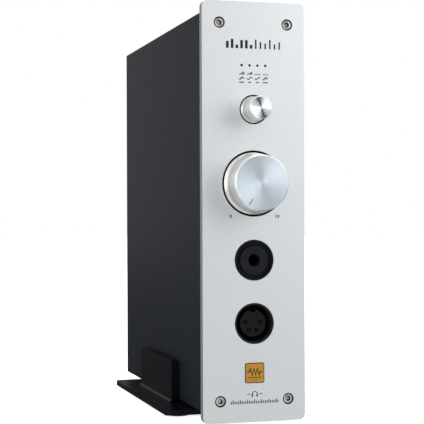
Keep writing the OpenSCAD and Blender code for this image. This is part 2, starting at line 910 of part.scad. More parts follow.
module network_port() {
    color([0.74, 0.75, 0.76]) placed() {
        difference() {
            facing(port_board_y, rear_face + 0.6 - port_board_y) translate([7, ports_z]) {
                square([16, 13.5], center = true);
            }
            facing(port_board_y + 2, 20) translate([7, ports_z + 0.6]) {
                square([11.9, 8.4], center = true);
                translate([0, -5.1]) square([6.2, 2.2], center = true);
            }
        }
        for (k = [0:7]) translate([7 - 3.57 + 1.02 * k, rear_face - 7, ports_z + 4.5]) {
            cube([0.5, 8, 0.9], center = true);
        }
    }
}

// ---- Stand -------------------------------------------------------------------------

// Cheek outline seen from the side, with round top corners.
module cheek_outline() {
    top = cheek_top - plate_top;
    translate([0, -0.5]) square([cheek_l, top - cheek_round + 0.5]);
    translate([cheek_round, 0]) square([cheek_l - 2 * cheek_round, top]);
    for (y = [cheek_round, cheek_l - cheek_round]) translate([y, top - cheek_round]) {
        circle(cheek_round);
    }
}

module stand() {
    color([0.05, 0.05, 0.055]) placed() {
        translate([0, base_front + base_l / 2, foot_h]) linear_extrude(base_t) {
            rounded_square(base_w, base_l, 3.5);
        }
        for (s = [0, 1]) mirror([s, 0, 0]) {
            translate([cheek_x - cheek_t, cheek_front, plate_top]) rotate([90, 0, 90]) {
                linear_extrude(cheek_t) cheek_outline();
            }
            difference() {
                block([cheek_x - 0.5, cheek_front, plate_top - 0.5],
                    [cheek_x + root_fillet, cheek_front + cheek_l, plate_top + root_fillet]);
                rod_y(cheek_x + root_fillet, cheek_front - 1, plate_top + root_fillet,
                    root_fillet, cheek_l + 2);
            }
        }
    }
}

// Rubber between the case and the stand: one strip below and one inside each cheek.
module stand_pads() {
    color([0.03, 0.03, 0.03]) placed() {
        block([-20, cheek_front, plate_top], [20, cheek_front + cheek_l, case_bottom]);
        for (s = [0, 1]) mirror([s, 0, 0]) {
            block([case_w / 2, cheek_front + 4, plate_top + 3],
                [cheek_x - cheek_t, cheek_front + cheek_l - 4, cheek_top - 3]);
        }
    }
}

module rubber_feet() {
    color([0.03, 0.03, 0.03]) placed() for (x = [-1, 1]) for (y = [9, base_l - 9]) {
        translate([x * (base_w / 2 - 9), base_front + y, 0]) cylinder(r = foot_r, h = foot_h);
    }
}

// ---- Parts -------------------------------------------------------------------------

front_panel();
front_bracket();
front_panel_screws();
badge();
volume_knob();
volume_shaft();
volume_set_screw();
volume_pot();
volume_pot_nut();
selector_knob();
selector_shaft();
selector_set_screw();
selector_switch();
selector_nut();
control_board();
light_guides();
indicator_leds();
indicator_board();
indicator_spacers();
headphone_jack();
jack_contacts();
balanced_socket();
balanced_insert();
balanced_contacts();
socket_screws();
case_left_shell();
case_right_shell();
inner_tray();
transformer();
transformer_pads();
transformer_plate();
transformer_bolt();
transformer_nut();
main_board();
power_board();
port_board();
board_standoffs();
board_screws();
dac_modules();
heatsinks();
output_transistors();
filter_capacitors();
coupling_capacitors();
output_relays();
ribbon_cable();
rear_panel();
rear_panel_screws();
power_inlet();
power_inlet_pins();
connector_screws();
power_switch();
power_rocker();
line_output_jacks();
balanced_outputs();
balanced_output_pins();
usb_port();
network_port();
stand();
stand_pads();
rubber_feet();
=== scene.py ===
"""The looks of an upright headphone amplifier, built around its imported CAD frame.

Places come from the frame: node boxes, joint axes and the record. Sizes that belong to a
detail are in millimetres, and MM turns them into Blender's metres. Depths on the front are
measured from the front panel's face, and heights from its lower edge.
"""

import json
import math

import bmesh
import bpy
from mathutils import Matrix, Vector


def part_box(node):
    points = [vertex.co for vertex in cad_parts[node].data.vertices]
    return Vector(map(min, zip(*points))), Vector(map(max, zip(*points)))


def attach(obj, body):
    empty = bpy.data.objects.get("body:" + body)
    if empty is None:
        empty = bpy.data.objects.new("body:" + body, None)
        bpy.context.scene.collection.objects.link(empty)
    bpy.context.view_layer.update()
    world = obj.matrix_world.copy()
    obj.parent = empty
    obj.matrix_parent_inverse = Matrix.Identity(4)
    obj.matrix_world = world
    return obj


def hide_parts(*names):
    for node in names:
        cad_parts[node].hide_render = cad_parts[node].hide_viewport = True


MM = 0.001
SQUARE = ((-1, -1), (1, -1), (1, 1), (-1, 1))

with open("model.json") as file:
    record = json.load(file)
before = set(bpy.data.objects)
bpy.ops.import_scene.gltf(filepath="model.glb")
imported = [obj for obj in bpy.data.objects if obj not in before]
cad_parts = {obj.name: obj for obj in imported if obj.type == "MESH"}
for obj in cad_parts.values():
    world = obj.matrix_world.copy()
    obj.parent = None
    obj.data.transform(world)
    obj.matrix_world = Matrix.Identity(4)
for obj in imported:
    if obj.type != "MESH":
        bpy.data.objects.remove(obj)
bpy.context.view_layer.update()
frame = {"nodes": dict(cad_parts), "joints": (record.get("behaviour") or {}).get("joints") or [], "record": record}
JOINTS = {joint["name"]: joint for joint in frame["joints"]}
BODY_OF = {
    node: body
    for body, nodes in frame["record"]["behaviour"]["bodies"].items()
    for node in nodes
}
SLOT_OF = {part["node"]: part["material_slot"] for part in frame["record"]["subparts"]}


def centre(node):
    low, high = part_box(node)
    return (low + high) / 2


PANEL_LOW, PANEL_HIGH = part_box("front_panel")
FRONT = PANEL_LOW.y
VOLUME = Vector(JOINTS["volume_turn"]["pos_m"])
SELECTOR = Vector(JOINTS["selector_turn"]["pos_m"])


# ---- Node wiring ----------------------------------------------------------------------

class Wiring:
    """Short calls for adding and joining the nodes of one node tree."""

    def __init__(self, node_tree):
        self.nodes = node_tree.nodes
        self.links = node_tree.links

    def join(self, node, inputs):
        for name, value in inputs.items():
            socket = node.inputs[name]
            if isinstance(value, bpy.types.NodeSocket):
                self.links.new(value, socket)
            else:
                socket.default_value = value

    def add(self, kind, inputs=None, **settings):
        node = self.nodes.new("ShaderNode" + kind)
        for name, value in settings.items():
            setattr(node, name, value)
        self.join(node, inputs or {})
        return node

    def maths(self, operation, first, second=0.0):
        return self.add("Math", {0: first, 1: second}, operation=operation).outputs[0]

    def span(self, value, low, high, to_low, to_high, kind="SMOOTHSTEP"):
        """Follows value from low to high with a number from to_low to to_high."""
        inputs = {"Value": value, "From Min": low, "From Max": high, "To Min": to_low, "To Max": to_high}
        return self.add("MapRange", inputs, interpolation_type=kind).outputs["Result"]


class Tree(Wiring):
    """The node tree of a new material."""

    def __init__(self, name):
        self.material = bpy.data.materials.new(name)
        self.material.use_nodes = True
        super().__init__(self.material.node_tree)
        self.shader = self.nodes["Principled BSDF"]

    def set(self, **inputs):
        self.join(self.shader, inputs)

    def place(self):
        return self.add("TexCoord").outputs["Object"]

    def from_point(self, point):
        """The X, Y and Z outputs of a place measured from a point."""
        inputs = {0: self.place(), 1: tuple(-v for v in point)}
        offset = self.add("VectorMath", inputs, operation="ADD").outputs[0]
        return self.add("SeparateXYZ", {"Vector": offset}).outputs

    def noise(self, size_mm, detail=3.0, vector=None, rough=0.5):
        inputs = {"Scale": 1.0 / (size_mm * MM), "Detail": detail, "Roughness": rough}
        inputs["Vector"] = vector or self.place()
        return self.add("TexNoise", inputs).outputs["Fac"]

    def between(self, fac, low, high):
        """A number that runs from low to high over the middle of a noise."""
        return self.span(fac, 0.3, 0.7, low, high, "LINEAR")

    def shade(self, fac, dark, light):
        """A colour between two others."""
        ramp = self.add("ValToRGB", {"Fac": fac})
        ramp.color_ramp.elements[0].position = 0.3
        ramp.color_ramp.elements[1].position = 0.7
        ramp.color_ramp.elements[0].color = (*dark, 1.0)
        ramp.color_ramp.elements[1].color = (*light, 1.0)
        return ramp.outputs["Color"]

    def bump(self, height, depth_mm, strength=1.0, under=None):
        inputs = {"Height": height, "Distance": depth_mm * MM, "Strength": strength}
        if under is not None:
            inputs["Normal"] = under
        return self.add("Bump", inputs).outputs["Normal"]


def tint(colour, factor):
    return tuple(min(1.0, part * factor) for part in colour)


# ---- Camera ---------------------------------------------------------------------------

# From the middle of the front panel's lower edge, in millimetres; turns are in degrees.
CAMERA_FROM_PANEL = Vector((-204.73, -618.17, 108.5))
CAMERA_YAW, CAMERA_PITCH, CAMERA_ROLL = 16.36, 0.26, -0.21
CAMERA_LENS = 104.07


def add_camera():
    data = bpy.data.cameras.new("camera")
    data.sensor_width = 36.0
    data.lens = CAMERA_LENS
    data.clip_start, data.clip_end = 0.05, 20.0
    camera = bpy.data.objects.new("camera", data)
    yaw, pitch = math.radians(CAMERA_YAW), math.radians(CAMERA_PITCH)
    look = Vector((math.sin(yaw) * math.cos(pitch), math.cos(yaw) * math.cos(pitch), math.sin(pitch)))
    right = Vector((math.cos(yaw), -math.sin(yaw), 0.0))
    up = right.cross(look)
    turn = Matrix.Rotation(math.radians(-CAMERA_ROLL), 3, look)
    right, up = turn @ right, turn @ up
    basis = Matrix((right, up, -look)).transposed()
    place = Vector((0.0, FRONT, PANEL_LOW.z)) + CAMERA_FROM_PANEL * MM
    camera.matrix_world = Matrix.Translation(place) @ basis.to_4x4()
    bpy.context.scene.collection.objects.link(camera)
    bpy.context.scene.camera = camera


# ---- Studio ---------------------------------------------------------------------------

# The tent's dark slit: the turn of its middle from straight in front, its rise, its lean, and
# half its width where it starts to darken and where it is fully dark, all in degrees.
SLIT_TURN, SLIT_RISE, SLIT_LEAN, SLIT_EDGE, SLIT_DARK = 18.7, 5.0, 17.0, 10.0, 5.5
TENT_GLOW, SLIT_GLOW, BACK_GLOW, BACK_LOW_GLOW = 1.14, 0.01, 0.16, 0.05
BRIGHTER_TOWARDS = (0.5, -0.2, 0.84)
TENT_TINT, WHITE = (0.975, 0.988, 1.0, 1.0), (1.0, 1.0, 1.0, 1.0)
FLOOR_GLOW, FLOOR_REACH = 0.8, 6.0
# Each light's turn and rise in degrees, its distance and its size in metres, and its radiance.
SOFTBOXES = {
    "left_side": (-92.0, 8.0, 1.5, (1.2, 1.2), 1.1),
    "top": (20.0, 80.0, 1.5, (1.2, 1.2), 0.9),
    "key": (52.0, 24.0, 0.55, (0.4, 0.4), 1.9),
    "back": (150.0, 35.0, 1.8, (1.4, 1.0), 1.8),
    "rear_left": (-167.0, 11.0, 0.7, (0.2, 0.4), 0.25),
}


def bearing(turn, rise):
    """Direction turned from straight in front (-Y) towards +X, and raised, both in degrees."""
    turn, rise = math.radians(turn), math.radians(rise)
    return Vector((math.sin(turn) * math.cos(rise), -math.cos(turn) * math.cos(rise), math.sin(rise)))


def add_softbox(name, turn, rise, away, size, radiance):
    """Rectangular light whose glow has the same brightness whatever its size."""
    data = bpy.data.lights.new(name, "AREA")
    data.shape = "RECTANGLE"
    data.size, data.size_y = size
    data.energy = 4.0 * size[0] * size[1] * radiance
    lamp = bpy.data.objects.new(name, data)
    towards = bearing(turn, rise)
    lamp.location = Vector((0.0, 0.0, PANEL_HIGH.z / 2)) + towards * away
    lamp.rotation_euler = (-towards).to_track_quat("-Z", "Y").to_euler()
    lamp.visible_camera = False
    bpy.context.scene.collection.objects.link(lamp)


def tent_glow(web):
    """Brightness of a light tent: open at the back, bright in front, with a leaning dark slit."""
    towards = web.add("TexCoord").outputs["Generated"]

    def along(direction):
        inputs = {0: towards, 1: tuple(direction)}
        return web.add("VectorMath", inputs, operation="DOT_PRODUCT").outputs["Value"]

    across = bearing(SLIT_TURN + 90.0, 0.0)
    across = Matrix.Rotation(math.radians(SLIT_LEAN), 3, bearing(SLIT_TURN, SLIT_RISE)) @ across
    aside = web.maths("ABSOLUTE", along(across))
    edge, dark = math.sin(math.radians(SLIT_EDGE)), math.sin(math.radians(SLIT_DARK))
    slit = web.span(aside, dark, edge, SLIT_GLOW, TENT_GLOW)
    rise = web.span(along(BRIGHTER_TOWARDS), -0.9, 0.9, 0.8, 1.2, "LINEAR")
    front = web.maths("MULTIPLY", slit, rise)
    back = web.span(along((0.0, 0.0, 1.0)), -0.35, 0.45, BACK_LOW_GLOW, BACK_GLOW)
    ahead = web.span(along((0.0, -1.0, 0.0)), -0.25, 0.25, 0.0, 1.0)
    return web.add("Mix", {"Factor": ahead, "A": back, "B": front}, data_type="FLOAT").outputs["Result"]


def add_studio():
    """A light tent with softboxes in it. The camera sees plain white behind the object."""
    for name, setting in SOFTBOXES.items():
        add_softbox(name, *setting)
    world = bpy.data.worlds.new("room")
    bpy.context.scene.world = world
    world.use_nodes = True
    web = Wiring(world.node_tree)
    backdrop = web.nodes["Background"]
    backdrop.inputs["Color"].default_value = WHITE
    backdrop.inputs["Strength"].default_value = 1.0
    tent = web.add("Background", {"Color": TENT_TINT, "Strength": tent_glow(web)})
    seen = web.add("LightPath").outputs["Is Camera Ray"]
    mix = web.add("MixShader", {"Fac": seen, 1: tent.outputs[0], 2: backdrop.outputs[0]})
    web.links.new(mix.outputs[0], web.nodes["World Output"].inputs["Surface"])
    bpy.context.scene.view_settings.view_transform = "Standard"


def add_floor():
    """A pale matt floor, bright enough to run into the background."""
    mesh = bpy.data.meshes.new("floor")
    corners = [(a * FLOOR_REACH, b * FLOOR_REACH, 0) for a, b in SQUARE]
    mesh.from_pydata(corners, [], [(0, 1, 2, 3)])
    floor = bpy.data.objects.new("floor", mesh)
    bpy.context.scene.collection.objects.link(floor)
    floor.visible_glossy = False
    tree = Tree("pale_floor")
    tree.set(Roughness=0.9, **{
        "Base Color": (0.92, 0.92, 0.92, 1.0), "Emission Color": WHITE,
        "Emission Strength": FLOOR_GLOW,
    })
    mesh.materials.append(tree.material)


# ---- Materials ------------------------------------------------------------------------

def blasted_metal(name, colour, roughness):
    """Bead-blasted, anodised metal: a fine, even grain of small dimples."""
    tree = Tree(name)
    dimples = tree.noise(0.5, 2.0, rough=0.6)
    fine = tree.bump(tree.noise(0.15, 2.0), 0.006, 0.5)
    patches = tree.noise(0.65, 2.0)
    tree.set(
        Metallic=1.0,
        Roughness=tree.between(dimples, roughness - 0.05, roughness + 0.05),
        Normal=tree.bump(dimples, 0.02, 0.7, fine),
        **{"Base Color": tree.shade(patches, tint(colour, 0.95), tint(colour, 1.03))},
    )
    return tree.material


GROOVE_PITCH = 0.45  # millimetres between the turned grooves of a flat face


def turned_metal(name, colour, roughness, axis_at, anisotropy=0.0, fan=0.0):
    """Metal turned about an axis along Y. Fine grooves run round it: anisotropy spreads its
    gleam across them, and fan tilts the normal of each groove of a flat face up to that slope."""
    tree = Tree(name)
    spot = tree.from_point(axis_at)
    outward = tree.add("CombineXYZ", {"X": spot["X"], "Z": spot["Z"]}).outputs[0]
    radius = tree.add("VectorMath", {0: outward}, operation="LENGTH").outputs["Value"]
    rings = tree.add("CombineXYZ", {"X": radius, "Y": spot["Y"]}).outputs[0]
    grooves = tree.noise(0.07, 3.0, rings, 0.7)
    bands = tree.noise(1.1, 2.0, rings)
    tree.set(
        Metallic=1.0,
        Roughness=tree.between(grooves, roughness * 0.9, roughness * 1.1),
        **{"Base Color": tree.shade(bands, tint(colour, 0.95), colour)},
    )
    if fan:
        turns = tree.maths("FRACT", tree.maths("DIVIDE", radius, GROOVE_PITCH * MM))
        flank = tree.maths("ABSOLUTE", tree.maths("SUBTRACT", turns, 0.5))
        slope = tree.span(flank, 0.0, 0.5, -fan, fan, "LINEAR")
        outward = tree.add("VectorTransform", {"Vector": outward}, convert_from="OBJECT",
                           convert_to="WORLD", vector_type="NORMAL").outputs[0]
        tilt = tree.add("VectorMath", {0: outward, "Scale": slope}, operation="SCALE").outputs[0]
        plain = tree.add("NewGeometry").outputs["Normal"]
        tilted = tree.add("VectorMath", {0: plain, 1: tilt}, operation="ADD").outputs[0]
        tree.set(Normal=tree.add("VectorMath", {0: tilted}, operation="NORMALIZE").outputs[0])
    else:
        tangent = tree.add("Tangent", direction_type="RADIAL", axis="Y").outputs[0]
        tree.set(Anisotropic=anisotropy, Tangent=tangent, Normal=tree.bump(grooves, 0.003, 0.5),
                 **{"Anisotropic Rotation": 0.25})
    return tree.material


def plain_metal(name, colour, roughness):
    """Plated or milled metal: cloudy gloss and faint marks."""
    tree = Tree(name)
    clouds = tree.noise(2.5, 3.0)
    marks = tree.noise(0.25, 4.0, rough=0.7)
    tree.set(
        Metallic=1.0,
        Roughness=tree.between(clouds, roughness - 0.06, roughness + 0.08),
        Normal=tree.bump(marks, 0.004, 0.5),
        **{"Base Color": tree.shade(clouds, tint(colour, 0.88), colour)},
    )
    return tree.material


def brushed_plate(name, colour, roughness):
    """Printed, lacquered plate with faint level brushing."""
    tree = Tree(name)
    stretched = tree.add("Mapping", {"Vector": tree.place(), "Scale": (0.08, 1.0, 1.0)}).outputs[0]
    hairs = tree.noise(0.12, 3.0, stretched)
    tree.set(
        Metallic=0.35,
        Roughness=tree.between(hairs, roughness - 0.05, roughness + 0.08),
        Normal=tree.bump(hairs, 0.003, 0.5),
        **{"Base Color": tree.shade(hairs, tint(colour, 0.9), tint(colour, 1.08))},
    )
    return tree.material


def powder_coat(name, colour, roughness, grain_mm, depth_mm, gloss=0.5):
    """Fine-textured paint: small rounded grains, a little uneven in gloss."""
    tree = Tree(name)
    grains = tree.noise(grain_mm, 2.0, rough=0.55)
    dust = tree.noise(grain_mm * 0.4, 2.0)
    normal = tree.bump(dust, depth_mm * 0.4, 0.5)
    tree.set(
        Roughness=tree.between(dust, roughness - 0.04, roughness + 0.04),
        Normal=tree.bump(grains, depth_mm, 0.8, normal),
        **{"Base Color": tree.shade(grains, tint(colour, 0.6), tint(colour, 1.4)),
           "Specular IOR Level": gloss, "Specular Tint": (0.74, 0.88, 1.0, 1.0)},
    )
    return tree.material


def moulded(name, colour, roughness, gloss=0.5):
    """Moulded plastic: a faint orange peel and slightly uneven gloss."""
    tree = Tree(name)
    peel = tree.noise(0.35, 3.0)
    clouds = tree.noise(4.0, 2.0)
    tree.set(
        Roughness=tree.between(clouds, roughness - 0.04, roughness + 0.06),
        Normal=tree.bump(peel, 0.006, 0.5),
        **{"Base Color": tree.shade(clouds, tint(colour, 0.9), tint(colour, 1.1)),
           "Specular IOR Level": gloss},
    )
    return tree.material


def soft_rubber(name, colour):
    tree = Tree(name)
    pores = tree.noise(0.3, 4.0, rough=0.7)
    tree.set(
        Roughness=tree.between(pores, 0.72, 0.9),
        Normal=tree.bump(pores, 0.02, 0.6),
        **{"Base Color": tree.shade(pores, tint(colour, 0.7), tint(colour, 1.3))},
    )
    return tree.material


def circuit_board(name, mask):
    """Solder mask over a web of copper traces."""
    tree = Tree(name)
    web = tree.add("TexBrick", {
        "Vector": tree.place(), "Scale": 1.0, "Mortar Size": 0.0004, "Brick Width": 0.006,
        "Row Height": 0.0022, "Color1": (0, 0, 0, 1), "Color2": (0.2, 0.2, 0.2, 1),
        "Mortar": (1, 1, 1, 1),
    }).outputs["Fac"]
    weave = tree.noise(0.6, 2.0)
    tree.set(
        Roughness=tree.between(weave, 0.3, 0.42),
        Normal=tree.bump(web, 0.03, 0.6),
        **{"Base Color": tree.shade(web, mask, tint(mask, 1.9))},
    )
    return tree.material


def printed_ink(name, colour):
    """Screen-printed ink: nearly even, with a fine edge of grain."""
    tree = Tree(name)
    grain = tree.noise(0.08, 3.0)
    tree.set(
        Roughness=tree.between(grain, 0.45, 0.6),
        Normal=tree.bump(grain, 0.002, 0.4),
        **{"Base Color": tree.shade(grain, tint(colour, 0.85), tint(colour, 1.15)),
           "Specular IOR Level": 0.2},
    )
    return tree.material


def wound_tape(name, colour):
    """Overlapping turns of glossy tape round a ring core whose axis lies along X."""
    tree = Tree(name)
    spot = tree.from_point(centre("transformer"))
    angle = tree.maths("ARCTAN2", spot["Z"], spot["Y"])
    turns = tree.maths("FRACT", tree.maths("MULTIPLY", angle, 12.0))
    tree.set(
        Roughness=tree.between(tree.noise(5.0), 0.2, 0.34),
        Normal=tree.bump(turns, 0.15, 0.8),
        **{"Base Color": tree.shade(turns, tint(colour, 0.8), colour)},
    )
    return tree.material


def slot_materials():
    """One finish for every material slot of the record."""
    return {
        "silver_panel": blasted_metal("panel_aluminium", (0.68, 0.697, 0.711), 0.56),
        "knob_aluminium": blasted_metal("knob_aluminium", (0.86, 0.88, 0.90), 0.3),
        "screw_steel": plain_metal("screw_steel", (0.76, 0.72, 0.66), 0.3),
        "black_steel": plain_metal("black_steel", (0.06, 0.06, 0.063), 0.35),
        "case_paint": powder_coat("case_paint", (0.0084, 0.0101, 0.013), 0.46, 1.0, 0.2, 0.29),
        "stand_paint": powder_coat("stand_paint", (0.003, 0.0037, 0.0054), 0.3, 0.3, 0.01, 0.09),
        "rubber_black": soft_rubber("rubber_black", (0.012, 0.012, 0.012)),
        "socket_black": moulded("socket_black", (0.0095, 0.0103, 0.0128), 0.34, gloss=0.05),
        "contact_gold": plain_metal("contact_gold", (0.90, 0.68, 0.32), 0.2),
        "badge_amber": brushed_plate("badge_amber", (0.37, 0.175, 0.011), 0.42),
        "light_guide": moulded("light_guide", (0.004, 0.004, 0.0045), 0.2, gloss=0.3),
        "led_body": moulded("led_body", (0.75, 0.75, 0.62), 0.25),
        "board_green": circuit_board("board_green", (0.012, 0.09, 0.035)),
        "board_blue": circuit_board("board_blue", (0.012, 0.03, 0.13)),
        "tray_steel": plain_metal("tray_steel", (0.62, 0.63, 0.64), 0.34),
        "core_weight": wound_tape("core_tape", (0.62, 0.40, 0.05)),
        "plated_steel": plain_metal("plated_steel", (0.66, 0.65, 0.62), 0.28),
        "heatsink_black": blasted_metal("heatsink_black", (0.05, 0.05, 0.055), 0.45),
        "chip_black": moulded("chip_black", (0.015, 0.015, 0.016), 0.5),
        "capacitor_sleeve": moulded("capacitor_sleeve", (0.02, 0.02, 0.08), 0.25),
        "film_red": moulded("film_red", (0.35, 0.025, 0.018), 0.2),
        "cable_grey": moulded("cable_grey", (0.30, 0.31, 0.33), 0.4),
        "rear_paint": powder_coat("rear_paint", (0.016, 0.016, 0.018), 0.45, 0.4, 0.02),
        "port_metal": plain_metal("port_metal", (0.68, 0.69, 0.70), 0.3),
        "pot_green": moulded("pot_green", (0.05, 0.10, 0.07), 0.3),
    }


# ---- Mesh building --------------------------------------------------------------------

SMOOTH_UNDER = math.radians(38)
EASE_OVER = math.radians(32)
EASE_STEPS = 2
FLAT_WITHIN = math.radians(0.4)


def finish_mesh(name, bm, body, materials, replaces=()):
    """Turns a bmesh into a piece that rides on a body, with its rounded edges shaded smooth."""
    bmesh.ops.recalc_face_normals(bm, faces=bm.faces)
    mesh = bpy.data.meshes.new(name)
    bm.to_mesh(mesh)
    bm.free()
    mesh.shade_smooth()
    mesh.set_sharp_from_angle(angle=SMOOTH_UNDER)
    for material in materials:
        mesh.materials.append(material)
    piece = bpy.data.objects.new(name, mesh)
    bpy.context.scene.collection.objects.link(piece)
    piece.modifiers.new("even_shading", "WEIGHTED_NORMAL").keep_sharp = True
    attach(piece, body)
    if replaces:
        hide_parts(*replaces)
    return piece


def softened(points, steps=4):
    """Outline in millimetres whose third value rounds a corner with an arc of that radius."""
    result = []
    count = len(points)
    for i, point in enumerate(points):
        fillet = point[2] if len(point) > 2 else 0.0
        here = Vector(point[:2])
        if not fillet:
            result.append(here)
            continue
        before = (Vector(points[i - 1][:2]) - here).normalized()
        after = (Vector(points[(i + 1) % count][:2]) - here).normalized()
        half = before.angle(after) / 2
        reach = fillet / math.tan(half)
        middle = here + (before + after).normalized() * fillet / math.sin(half)
        start = (here + before * reach - middle).normalized()
        end = (here + after * reach - middle).normalized()
        for k in range(steps + 1):
            result.append(middle + start.slerp(end, k / steps) * fillet)
    return result


def lathe(bm, outline, place, segments):
    """Turns an outline of (radius, depth) in millimetres about an axis along Y through place."""
    rings = []
    for radius, depth in softened(outline):
        middle = place + Vector((0.0, depth * MM, 0.0))
        if radius < 1e-6:
            rings.append([bm.verts.new(middle)])
            continue
        ring = []
        for k in range(segments):
            angle = 2 * math.pi * k / segments
            away = Vector((math.cos(angle), 0.0, math.sin(angle))) * radius * MM
            ring.append(bm.verts.new(middle + away))
        rings.append(ring)
    for near, far in zip(rings, rings[1:] + rings[:1]):
        if len(near) == 1 and len(far) == 1:
            continue
        for k in range(segments):
            corners = [near[k % len(near)], near[(k + 1) % len(near)]]
            corners += [far[(k + 1) % len(far)], far[k % len(far)]]
            bm.faces.new(dict.fromkeys(corners))


def prism(outline, low, high):
    """Closed prism over an outline in X and Z, from depth low to high, all in millimetres."""
    bm = bmesh.new()
    near, far = [[bm.verts.new(Vector((x, y, z)) * MM) for x, z in outline] for y in (low, high)]
    bm.faces.new(near)
    bm.faces.new(far[::-1])
    for k in range(len(outline)):
        bm.faces.new([near[k - 1], far[k - 1], far[k], near[k]])
    bmesh.ops.recalc_face_normals(bm, faces=bm.faces)
    return bm


def cut(piece, tool, placement, index=0):
    """Cuts a tool mesh out of a piece; the new walls take the piece's material of that index."""
    bmesh.ops.transform(tool, matrix=placement, verts=tool.verts)
    mesh = bpy.data.meshes.new("tool")
    tool.to_mesh(mesh)
    tool.free()
    for material in piece.data.materials:
        mesh.materials.append(material)
    for polygon in mesh.polygons:
        polygon.material_index = index
    cutter = bpy.data.objects.new("tool", mesh)
    bpy.context.scene.collection.objects.link(cutter)
    modifier = piece.modifiers.new("cut", "BOOLEAN")
    modifier.object, modifier.operation, modifier.solver = cutter, "DIFFERENCE", "EXACT"
    graph = bpy.context.evaluated_depsgraph_get()
    made = bpy.data.meshes.new_from_object(piece.evaluated_get(graph))
    piece.modifiers.remove(modifier)
    piece.data = made
    bpy.data.objects.remove(cutter)


def refined(node, width_mm, material):
    """A copy of a CAD node with every sharp edge rounded, which stands in for the node."""
    bm = bmesh.new()
    bm.from_mesh(frame["nodes"][node].data)
    bmesh.ops.remove_doubles(bm, verts=bm.verts, dist=1e-6)
    bmesh.ops.dissolve_limit(
        bm, angle_limit=FLAT_WITHIN, verts=bm.verts, edges=bm.edges, use_dissolve_boundaries=False
    )
    sharp = [
        edge for edge in bm.edges
        if len(edge.link_faces) == 2 and edge.calc_face_angle(0.0) > EASE_OVER
    ]
    bmesh.ops.bevel(
        bm, geom=sharp, offset=width_mm * MM, segments=EASE_STEPS, profile=0.5, affect="EDGES",
        clamp_overlap=True,
    )
    return finish_mesh(node + "_refined", bm, BODY_OF[node], [material], [node])


# ---- Flat drawings --------------------------------------------------------------------

class Sheet:
    """The front to draw on: (x, z) in millimetres from its zero, and a rise off it."""

    def __init__(self, zero):
        self.zero = Vector(zero)
        self.bm = bmesh.new()

    def loop(self, outline, rise):
        return [self.bm.verts.new(self.zero + Vector((x, -rise, z)) * MM) for x, z in outline]

    def slab(self, outline, low, high, index=0):
        """Raises an outline from low to high."""
        near, far = self.loop(outline, high), self.loop(outline, low)
        faces = [self.bm.faces.new(near), self.bm.faces.new(far[::-1])]
        for k in range(len(outline)):
            faces.append(self.bm.faces.new([near[k - 1], far[k - 1], far[k], near[k]]))
        for face in faces:
            face.material_index = index

    def ring(self, outer, inner, low, high):
        """Raises the band between two outlines that have the same number of points."""
        loops = [self.loop(line, rise) for line, rise in
                 ((outer, high), (inner, high), (inner, low), (outer, low))]
        for one, other in zip(loops, loops[1:] + loops[:1]):
            for k in range(len(outer)):
                self.bm.faces.new([one[k - 1], one[k], other[k], other[k - 1]])


def oval(x, z, wide, high, steps=32):
    angles = [2 * math.pi * k / steps for k in range(steps)]
    return [(x + wide / 2 * math.cos(a), z + high / 2 * math.sin(a)) for a in angles]


def bar(x, z, wide, high):
    """Rectangle whose lower edge has its middle at (x, z)."""
    left, right = x - wide / 2, x + wide / 2
    return [(left, z), (right, z), (right, z + high), (left, z + high)]


def tile(x, z, side, radius):
    """Square with round corners, centred at (x, z)."""
    half = side / 2
    corners = [(a * half, b * half, radius) for a, b in SQUARE]
    return [(x + p.x, z + p.y) for p in softened(corners, 5)]


def stroke(points, width):
    """Outline of an open line with mitred corners."""
    points = [Vector(point) for point in points]
    sides = []
    for k, point in enumerate(points):
        before = (point - points[k - 1]).normalized() if k else None
        after = (points[k + 1] - point).normalized() if k + 1 < len(points) else None
        along = ((before or after) + (after or before)).normalized()
        across = Vector((-along.y, along.x))
        edge = before or after
        stretch = 1.0 / max(0.4, across.dot(Vector((-edge.y, edge.x))))
        sides.append(across * width / 2 * stretch)
    left = [point + side for point, side in zip(points, sides)]
    right = [point - side for point, side in zip(points, sides)]
    return [tuple(point) for point in right + left[::-1]]


# ---- Pieces ---------------------------------------------------------------------------

# How deep and how proud the printed marks lie.
INK_LOW, INK_HIGH = -0.01, 0.02
# Heights above the panel's lower edge: the level bars, the three rows under the lights, the
# numbers of the volume scale, the headphone sign and the graduated scale.
LEVEL_Z = 198.1
GAIN_Z, FILTER_Z, LINE_Z = 184.2, 181.7, 179.9
DIAL_Z = 108.2
SIGN_Z, SCALE_Z = 13.4, 9.8


def add_knob(name, node, place, outline, segments, materials):
    """A turned knob with a grub screw's hole in its flare, and its own finish on the face."""
    bm = bmesh.new()
    lathe(bm, outline, place, segments)
    piece = finish_mesh(name, bm, BODY_OF[node], materials, [node])
    grub_low, grub_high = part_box(node.replace("knob", "set_screw"))
    middle = (grub_low + grub_high) / 2
    radius = (grub_high.z - grub_low.z) / 2 / MM
    hole = prism(oval(0, 0, 2 * radius, 2 * radius), 0.0, 25.0)
    cut(piece, hole, Matrix.Translation(middle) @ Matrix.Rotation(math.radians(-90), 4, "Z"))
    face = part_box(node)[0].y
    for polygon in piece.data.polygons:
        if abs(polygon.center.y - face) < 0.01 * MM:
            polygon.material_index = 1
    return piece


# Depths of the knobs' backs and of their shaft bores' ends, and the radius of a shaft.
KNOB_BACK, BORE_END, SHAFT_R = 1.2, -9.2, 3.0


